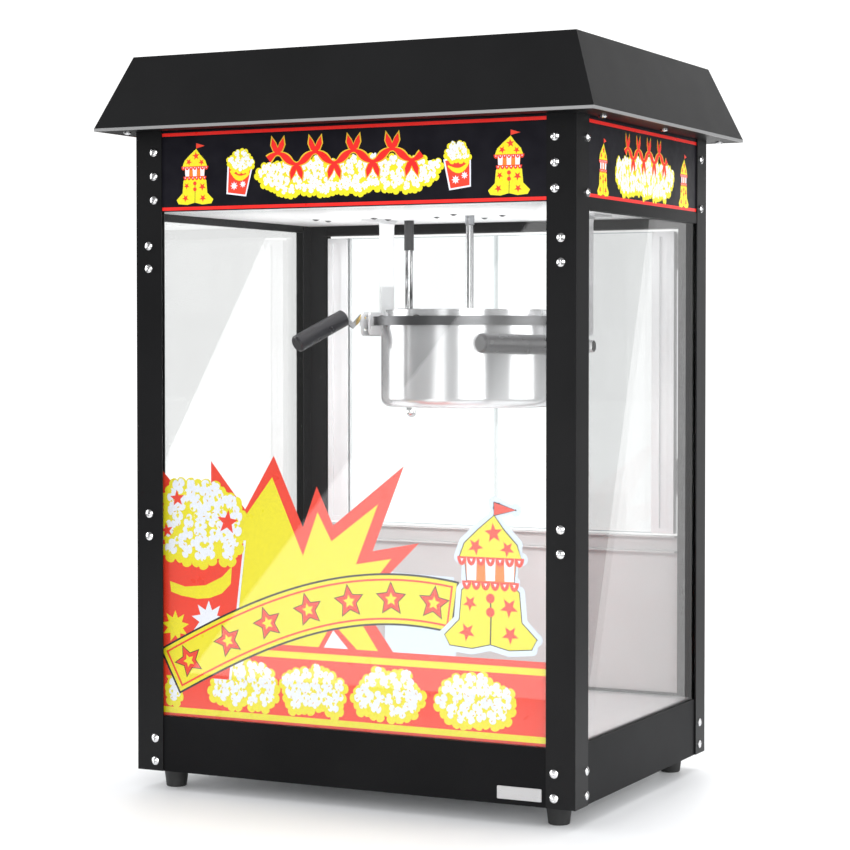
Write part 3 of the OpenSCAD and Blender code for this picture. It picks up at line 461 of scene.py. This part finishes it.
def popcorn(art, inside, count, size, seed, squeeze=1.0):
    """A heap of popped corn: yellow puffs with white splashes. inside(random) gives a point in it."""
    draw = random.Random(seed)
    spots = []
    for _ in range(80 * count):
        if len(spots) == count:
            break
        spot = inside(draw)
        if all(math.hypot((spot[0] - s[0]) / squeeze, spot[1] - s[1]) > 0.55 * size for s in spots):
            spots.append(spot)
    for across, up in spots:
        art.shape(cloud(across, up - 0.06 * size, 0.68 * size, 5, draw.uniform(0, math.tau), squeeze),
                  "yellow")
    for lobes, reach, least, most, every in ((3, 0.08, 0.38, 0.48, 1), (4, 0.28, 0.26, 0.34, 2)):
        for across, up in spots[::every]:
            art.shape(cloud(across + squeeze * size * draw.uniform(-reach, reach),
                            up + size * draw.uniform(0.1 - reach, 0.1 + reach),
                            size * draw.uniform(least, most), lobes, draw.uniform(0, math.tau),
                            squeeze * draw.uniform(0.75, 1.0), 0.5), "white")
    for across, up in spots:
        t = draw.uniform(0, math.tau)
        art.shape(cloud(across + squeeze * 0.3 * size * math.cos(t), up + 0.3 * size * math.sin(t),
                        size * draw.uniform(0.1, 0.15), 3, t, squeeze * 0.8, 0.5), "yellow")
        art.shape(ring(across - squeeze * 0.2 * size * math.cos(t), up - 0.2 * size * math.sin(t),
                       squeeze * 0.08 * size, 0.03 * size, 9, t), "gold")


def mound(low, high, bottom, top, flat=0.5):
    """A function that picks a point in a heap between low and high, with a rounded top."""
    middle, half = (low + high) / 2, (high - low) / 2

    def pick(draw):
        while True:
            a = draw.uniform(-1, 1)
            u = draw.uniform(0, 1)
            if u < 1 - abs(a) ** 2.4 * (1 - flat) and abs(a) < 1 - 0.25 * (1 - u) ** 3:
                return middle + a * half, bottom + u * (top - bottom)

    return pick


def stroke(art, outline, width, colour):
    """A line with round corners all the way round an outline."""
    line = outline + outline[:1]
    for a, u in line:
        art.shape(ring(a, u, width / 2, None, 12), colour)
    art.strip(line, [width] * len(line), colour)


def tent(art, across, up, size, squeeze=1.0, back=0):
    """A fairground tent with stars and a pennant; back is the width of a pale border round it."""

    def put(points):
        return moved([(x * size, y * size) for x, y in points], across, up, 0, squeeze)

    roof = [(-0.5, 0.36), (-0.42, 0.56), (-0.2, 0.76), (0.06, 0.97), (0.22, 0.76), (0.42, 0.56),
            (0.5, 0.36)]
    walls = [(-0.38, 0.02), (0.38, 0.02), (0.42, 0.38), (-0.42, 0.38)]
    skirt = [(-0.28, 0.04), (-0.46, -0.12), (-0.5, -0.55), (-0.74, -0.78), (-0.66, -0.92),
             (-0.3, -0.95), (0.0, -0.88), (0.3, -0.95), (0.66, -0.92), (0.74, -0.78), (0.5, -0.55),
             (0.46, -0.12), (0.28, 0.04)]
    flag = [(0.06, 1.16), (0.4, 1.06), (0.06, 0.98)]
    if back:
        for part in (roof, walls, skirt, flag):
            art.shape(put(part), "pale")
            stroke(art, put(part), back, "pale")
    line = 0.028 * size
    for part, colour in ((skirt, "yellow"), (walls, "orange"), (roof, "yellow"), (flag, "red")):
        stroke(art, put(part), line, "black")
        art.shape(put(part), colour)
    for i in range(3):
        low = -0.38 + 0.304 * i
        art.shape(put([(low, 0.03), (low + 0.15, 0.03), (low + 0.16, 0.36), (low - 0.01, 0.36)]),
                  "white")
    for count, wide, level in ((7, 0.54, 0.37), (6, 0.46, 0.02)):
        for i in range(count):
            x = wide * (2 * (i + 0.5) / count - 1)
            scallop = [(x + wide / count * math.cos(math.pi * k / 8),
                        level - 0.13 * math.sin(math.pi * k / 8)) for k in range(9)]
            art.shape(put(scallop), "red")
        for i in range(count):
            x = wide * (2 * (i + 0.5) / count - 1)
            art.shape(put([(x - 0.025, level - 0.03), (x + 0.025, level - 0.03), (x, level - 0.08)]),
                      "white")
    art.strip(put([(0, -0.16), (0.01, -0.5), (0, -0.88)]), [0.02 * size] * 3, "black")
    for x, y in ((0, -0.22), (0, -0.42)):
        art.shape(put(ring(x, y, 0.07, None, 14)), "red")
    for x, y, r in ((-0.24, 0.52, 0.13), (0.05, 0.72, 0.15), (0.27, 0.5, 0.12), (-0.33, -0.3, 0.12),
                    (0.3, -0.34, 0.15), (-0.38, -0.72, 0.14), (0.32, -0.73, 0.14)):
        art.shape(put(star(x, y, r, 5, 0.42, 2 * x)), "red")


def corn_box(art, across, up, size, turn, seed):
    """A tilted paper box of popcorn with a yellow smile band and white stars."""
    edge = 0.07
    body = [(-0.5, -0.95), (0.4, -0.95), (0.55, 0.25), (-0.6, 0.25)]
    rim = [(x * (1 + 2 * edge), y + (edge if y > 0 else -edge)) for x, y in body]
    art.shape(moved([(x * size, y * size) for x, y in rim], across, up, turn), "white")
    art.shape(moved([(x * size, y * size) for x, y in body], across, up, turn), "red")
    smile = [(-0.5 + 1.0 * t, 0.02 - 0.28 * math.sin(math.pi * t)) for t in [i / 8 for i in range(9)]]
    line = moved([(x * size, y * size) for x, y in smile], across, up, turn)
    art.strip(line, [0.16 * size * (0.4 + math.sin(math.pi * i / 8)) for i in range(9)], "yellow")
    for x, y, r in ((-0.22, -0.62, 0.2), (0.22, -0.5, 0.17)):
        spot = moved([(x * size, y * size)], across, up, turn)[0]
        art.shape(star(*spot, r * size, 8, 0.5), "white")

    def pick(draw):
        t = draw.uniform(0, math.tau)
        r = math.sqrt(draw.uniform(0, 1))
        x, y = 0.5 * r * math.cos(t), 0.5 + 0.36 * r * math.sin(t)
        return moved([(x * size, y * size)], across, up, turn)[0]

    popcorn(art, pick, 11, 0.42 * size, seed)


def garland(art, low, high, up, size, squeeze=1.0):
    """A wavy ribbon with pairs of leaves, red with an orange edge."""
    waves = max(3, round((high - low) / (squeeze * size * 0.85)))
    steps = 12 * waves
    line = [(low + (high - low) * i / steps, up + 0.22 * size * math.sin(math.pi * i / 12))
            for i in range(steps + 1)]
    swell = [0.7 + 0.3 * math.cos(math.pi * i / 6) for i in range(steps + 1)]
    leaf = [(0, 0), (0.2, 0.12), (0.3, 0.34), (0.26, 0.62), (0.1, 0.42), (0.0, 0.2)]
    for grow, thick, colour in ((1.5, 1.65, "gold"), (1.15, 1.15, "sign_red")):
        for i in range(waves):
            middle = low + (high - low) * (i + 0.5) / waves
            upward = 1 if i % 2 == 0 else -1
            for side in (-1, 1):
                centre = (side * 0.13 * size, upward * (0.5 * size))
                outline = [(centre[0] + side * (x - 0.14) * grow * size * 0.9,
                            centre[1] + upward * (y - 0.3) * grow * size * 0.9) for x, y in leaf]
                art.shape(moved(outline, middle, up, 0, squeeze), colour)
        art.strip(line, [0.24 * size * w * thick for w in swell], colour)


# ---------- signs ----------

def sign_stripes(art, start, end, bottom, top):
    """The thin red lines from start to end, along the bottom and top edges."""
    width = 3.4
    for low in (bottom + 1.0, top - 5.2):
        art.shape([(start, low), (end, low), (end, low + width), (start, low + width)], "sign_red")


def front_sign_art():
    """Popcorn under a garland, with a box of popcorn and a tent at each end."""
    low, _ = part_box("front_sign")
    face = low.y - Art.GAP
    art = Art(lambda a, u, out: (a, face - out, u))
    bottom = low.z / MM
    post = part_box("post_front_right")[0].x / MM
    sign_stripes(art, -post - 2, post + 2, bottom, bottom + 83)
    centre = bottom + 34
    popcorn(art, mound(-101, 101, centre - 17, centre + 12, 0.8), 92, 12, 40)
    garland(art, -90, 84, centre + 16, 26)
    for side in (-1, 1):
        corn_box(art, side * 124, centre + 4, 23, side * 0.13, 60 + side)
        tent(art, side * 178, centre + 1, 30)
    art.build("front_sign_print", Vector((0, -1, 0)))


def side_sign_art(side, name):
    """Popcorn under a garland between two tents; side is 1 for the right sign, -1 for the left."""
    low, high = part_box(name)
    face = high.x if side > 0 else low.x
    art = Art(lambda a, u, out: (face + side * (Art.GAP + out), a, u))
    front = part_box("post_front_right")[1].y / MM
    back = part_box("post_rear_right")[0].y / MM
    bottom = low.z / MM
    sign_stripes(art, front - 2, back + 2, bottom, bottom + 78)
    centre = bottom + 30
    middle = (front + back) / 2
    popcorn(art, mound(middle - 80, middle + 80, centre - 18, centre + 14, 0.8), 92, 12, 80, 0.8)
    garland(art, middle - 56, middle + 62, centre + 20, 22, 0.8)
    for end in (-1, 1):
        tent(art, middle + end * 114, centre - 1, 27, 0.75)
    art.build(name + "_print", Vector((side, 0, 0)))


front_sign_art()
side_sign_art(1, "right_sign")
side_sign_art(-1, "left_sign")


# ---------- picture on the front pane ----------

def ribbon_line(t):
    """The arched ribbon's middle: t from 0 at the lower left to 1 at the right."""
    return -214 + 332 * t, 110 + 103 * math.sin(math.radians(8 + 100 * t))


def front_glass_art():
    """A red band of popcorn, a starburst, a bucket, a ribbon and a tent, just behind the pane."""
    low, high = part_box("front_glass")
    room = 0.95 * MM
    art = Art(lambda a, u, out: (a, high.y + room - out, u))
    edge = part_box("post_front_right")[0].x / MM + 4
    base = low.z / MM
    band_top = 160

    art.shape([(40, 240), (116, 238), (124, 200), (118, band_top), (40, band_top)], "pale")
    outer = [(-163, band_top), (-163, 346), (-122, 297), (-88, 353), (-54, 281), (-38, 323),
             (-19, 284), (61, 346), (26, 260), (78, 270), (45, 238), (14, 206), (49, band_top)]
    inner = [(-155, band_top), (-153, 322), (-122, 290), (-90, 331), (-54, 252), (-37, 297),
             (-21, 268), (32, 307), (7, 246), (47, 253), (24, 226), (2, 203), (32, band_top)]
    art.shape([(-edge, 334), (-206, 318), (-186, 296), (-edge, 280)], "red")
    art.shape(outer, "red")
    art.shape(inner, "yellow")
    art.shape([(-36, band_top), (-20, 186), (8, band_top)], "red")
    art.shape([(-30, band_top), (-19, 178), (-2, band_top)], "white")

    art.shape([(-edge, base), (edge, base), (edge, band_top), (-edge, band_top)], "red")
    for low_line, high_line in ((146.6, 153.4), (80.8, 87.2)):
        art.shape([(-edge, low_line), (edge, low_line), (edge, high_line), (-edge, high_line)],
                  "yellow")
    heaps = [(-edge + 8, -205, 6), (-163, -88, 22), (-76, -4, 20), (9, 81, 20), (96, 180, 23)]
    for i, (left, right, count) in enumerate(heaps):
        popcorn(art, mound(left, right, 98, 137), count, 17, 500 + i)

    bucket_low = 120
    for grow, colour in ((3, "white"), (0, "red")):
        art.shape([(-edge, 262 + grow), (-124 + grow, 262 + grow), (-142 + grow, bucket_low),
                   (-edge, bucket_low)], colour)
    art.shape([(-213.6, 219), (-195, 214), (-170, 216.5), (-150, 226), (-138, 237.5),
               (-139.4, 219.4), (-150, 209), (-165, 203.5), (-180, 202), (-200, 204.5),
               (-212, 208)], "yellow")
    art.shape(star(-166, 180, 21, 9, 0.55), "white")
    art.shape(star(-207, 172, 17, 9, 0.55), "yellow")

    def heap(draw):
        while True:
            a, u = draw.uniform(-edge + 9, -130), draw.uniform(246, 322)
            dome = 276 + 44 * math.sqrt(max(0, 1 - ((a + 196) / 72) ** 2))
            if u < dome and u > 246 + 0.1 * abs(a + 175):
                return a, u

    popcorn(art, heap, 40, 20, 21)
    for across, up, size, turn in ((-204, 306, 9, 0.1), (-143, 283, 13, -0.1), (-217, 272, 8, 0.2)):
        art.shape(star(across, up, size, 5, 0.42, turn), "red")

    steps = 40
    widest, length = 52, 340
    for width, colour in ((widest, "black"), (48, "yellow"), (41, "red"), (37, "yellow")):
        trim = (widest - width) / 2 / length
        line = [ribbon_line(trim + (1 - 2 * trim) * i / steps) for i in range(steps + 1)]
        art.strip(line, [width] * (steps + 1), colour)
    stars = 7
    for i in range(stars):
        across, up = ribbon_line((i + 0.5) / stars)
        ahead = ribbon_line((i + 0.6) / stars)
        tilt = math.atan2(ahead[1] - up, ahead[0] - across)
        for size, colour in ((18, "black"), (16, "red")):
            art.shape(star(across, up, size, 5, 0.48, tilt), colour)
        art.shape(star(across, up, 7, 5, 0.48, tilt), "yellow")
    tent(art, 156, 234, 68, 0.98, 13)
    art.build("front_glass_print", Vector((0, -1, 0)))


front_glass_art()


# ---------- stage, lights and camera ----------

def plain_floor():
    """A pale floor that fades into the background far away from the object."""
    size = 12.0
    fade_start, fade_end = 0.5, 1.2
    mesh = bpy.data.meshes.new("floor")
    mesh.from_pydata([(-size, -size, 0), (size, -size, 0), (size, size, 0), (-size, size, 0)], [],
                     [(0, 1, 2, 3)])
    made, tree, shader = new_material("floor")
    shader.inputs["Base Color"].default_value = (0.92, 0.92, 0.92, 1)
    shader.inputs["Roughness"].default_value = 0.5
    mesh.materials.append(made)
    floor = bpy.data.objects.new("floor", mesh)
    bpy.context.scene.collection.objects.link(floor)
    clear = tree.nodes.new("ShaderNodeBsdfTransparent")
    where = tree.nodes.new("ShaderNodeTexCoord")
    length = tree.nodes.new("ShaderNodeVectorMath")
    length.operation = "LENGTH"
    tree.links.new(where.outputs["Object"], length.inputs[0])
    far = to_range(tree, length.outputs["Value"], 0, 1, fade_start, fade_end)
    mix = tree.nodes.new("ShaderNodeMixShader")
    tree.links.new(far, mix.inputs["Fac"])
    tree.links.new(shader.outputs["BSDF"], mix.inputs[1])
    tree.links.new(clear.outputs["BSDF"], mix.inputs[2])
    tree.links.new(mix.outputs["Shader"], tree.nodes["Material Output"].inputs["Surface"])


def area_light(name, place, target, size, power):
    """A rectangular lamp at place, facing target."""
    lamp = bpy.data.lights.new(name, "AREA")
    lamp.shape = "RECTANGLE"
    lamp.size, lamp.size_y = size
    lamp.energy = power
    made = bpy.data.objects.new(name, lamp)
    made.location = place
    made.rotation_euler = (Vector(target) - Vector(place)).to_track_quat("-Z", "Y").to_euler()
    bpy.context.scene.collection.objects.link(made)
    return made


def white_world():
    """White where it is seen, bright where it lights and dim where it is reflected."""
    world = bpy.data.worlds.new("world")
    world.use_nodes = True
    bpy.context.scene.world = world
    tree = world.node_tree
    path = tree.nodes.new("ShaderNodeLightPath")
    last = tree.nodes["Background"]
    last.inputs["Color"].default_value = (0.95, 0.97, 1.0, 1)
    last.inputs["Strength"].default_value = 0.9
    shader = last.outputs["Background"]
    for ray, strength in (("Is Glossy Ray", 0.25), ("Is Camera Ray", 1.22)):
        background = tree.nodes.new("ShaderNodeBackground")
        background.inputs["Color"].default_value = (1, 1, 1, 1)
        background.inputs["Strength"].default_value = strength
        mix = tree.nodes.new("ShaderNodeMixShader")
        tree.links.new(path.outputs[ray], mix.inputs["Fac"])
        tree.links.new(shader, mix.inputs[1])
        tree.links.new(background.outputs["Background"], mix.inputs[2])
        shader = mix.outputs["Shader"]
    tree.links.new(shader, tree.nodes["World Output"].inputs["Surface"])


def card(name, corners, strength):
    """A white card that only shows in reflections."""
    mesh = bpy.data.meshes.new(name)
    mesh.from_pydata(corners, [], [list(range(len(corners)))])
    made, tree, shader = new_material(name)
    shader.inputs["Base Color"].default_value = (0, 0, 0, 1)
    shader.inputs["Emission Color"].default_value = (1, 1, 1, 1)
    shader.inputs["Emission Strength"].default_value = strength
    mesh.materials.append(made)
    board = bpy.data.objects.new(name, mesh)
    for ray in ("camera", "diffuse", "shadow", "transmission"):
        setattr(board, "visible_" + ray, False)
    bpy.context.scene.collection.objects.link(board)


plain_floor()
white_world()
area_light("front", (1.9, -3.1, 1.0), (0, 0, 0.45), (2.4, 2.2), 75)
area_light("left", (-2.6, -0.5, 0.9), (0, 0, 0.45), (2.0, 2.0), 42)
area_light("right", (2.7, 0.3, 0.9), (0, 0, 0.45), (1.8, 2.0), 32)
area_light("top", (0, 0.6, 2.8), (0, 0, 0.5), (2.4, 1.8), 30)
area_light("back", (-0.6, 2.6, 1.0), (0, 0, 0.45), (2.6, 1.8), 14)
inner = [area_light("inside", (0, 0.02, 0.6), (0, 0.02, 0), (0.36, 0.26), 0.9),
         area_light("upwards", (0, 0.02, 0.53), (0, 0.02, 1), (0.36, 0.26), 0.5),
         area_light("lower_back", (0, -0.1, 0.37), (0, 0.18, 0.12), (0.36, 0.06), 0.7)]
for lamp in inner:
    lamp.visible_camera = False
    lamp.visible_glossy = False
# The cards' corners put the edges of their reflections where the photograph shows them
card("front_card", [(-0.643, -0.9, 0.002), (-0.03, -0.9, 0.002), (-0.03, -0.9, 0.734)], 1.9)
card("side_card", [(0.36, 0.132, 0.03), (0.36, 0.62, 0.03), (0.36, 0.62, 0.68), (0.36, 0.358, 0.68)],
     1.1)
card("left_card", [(0.0, 0.6, 0.17), (0.2949, 0.6, 0.17), (0.0372, 0.6, 0.6536), (0.0, 0.6, 0.6536)],
     1.9)


def camera():
    """The view from the front right, fitted to the photograph's straight cabinet edges."""
    lens = bpy.data.cameras.new("camera")
    lens.sensor_width = 36
    lens.lens = 98.67
    lens.shift_x = -0.0028
    lens.shift_y = -0.0302
    made = bpy.data.objects.new("camera", lens)
    made.location = (1.1089, -2.2350, 0.4729)
    made.rotation_euler = (math.radians(90 - 1.501), 0, math.radians(26.388))
    bpy.context.scene.collection.objects.link(made)
    bpy.context.scene.camera = made


camera()
bpy.context.scene.view_settings.view_transform = "Standard"
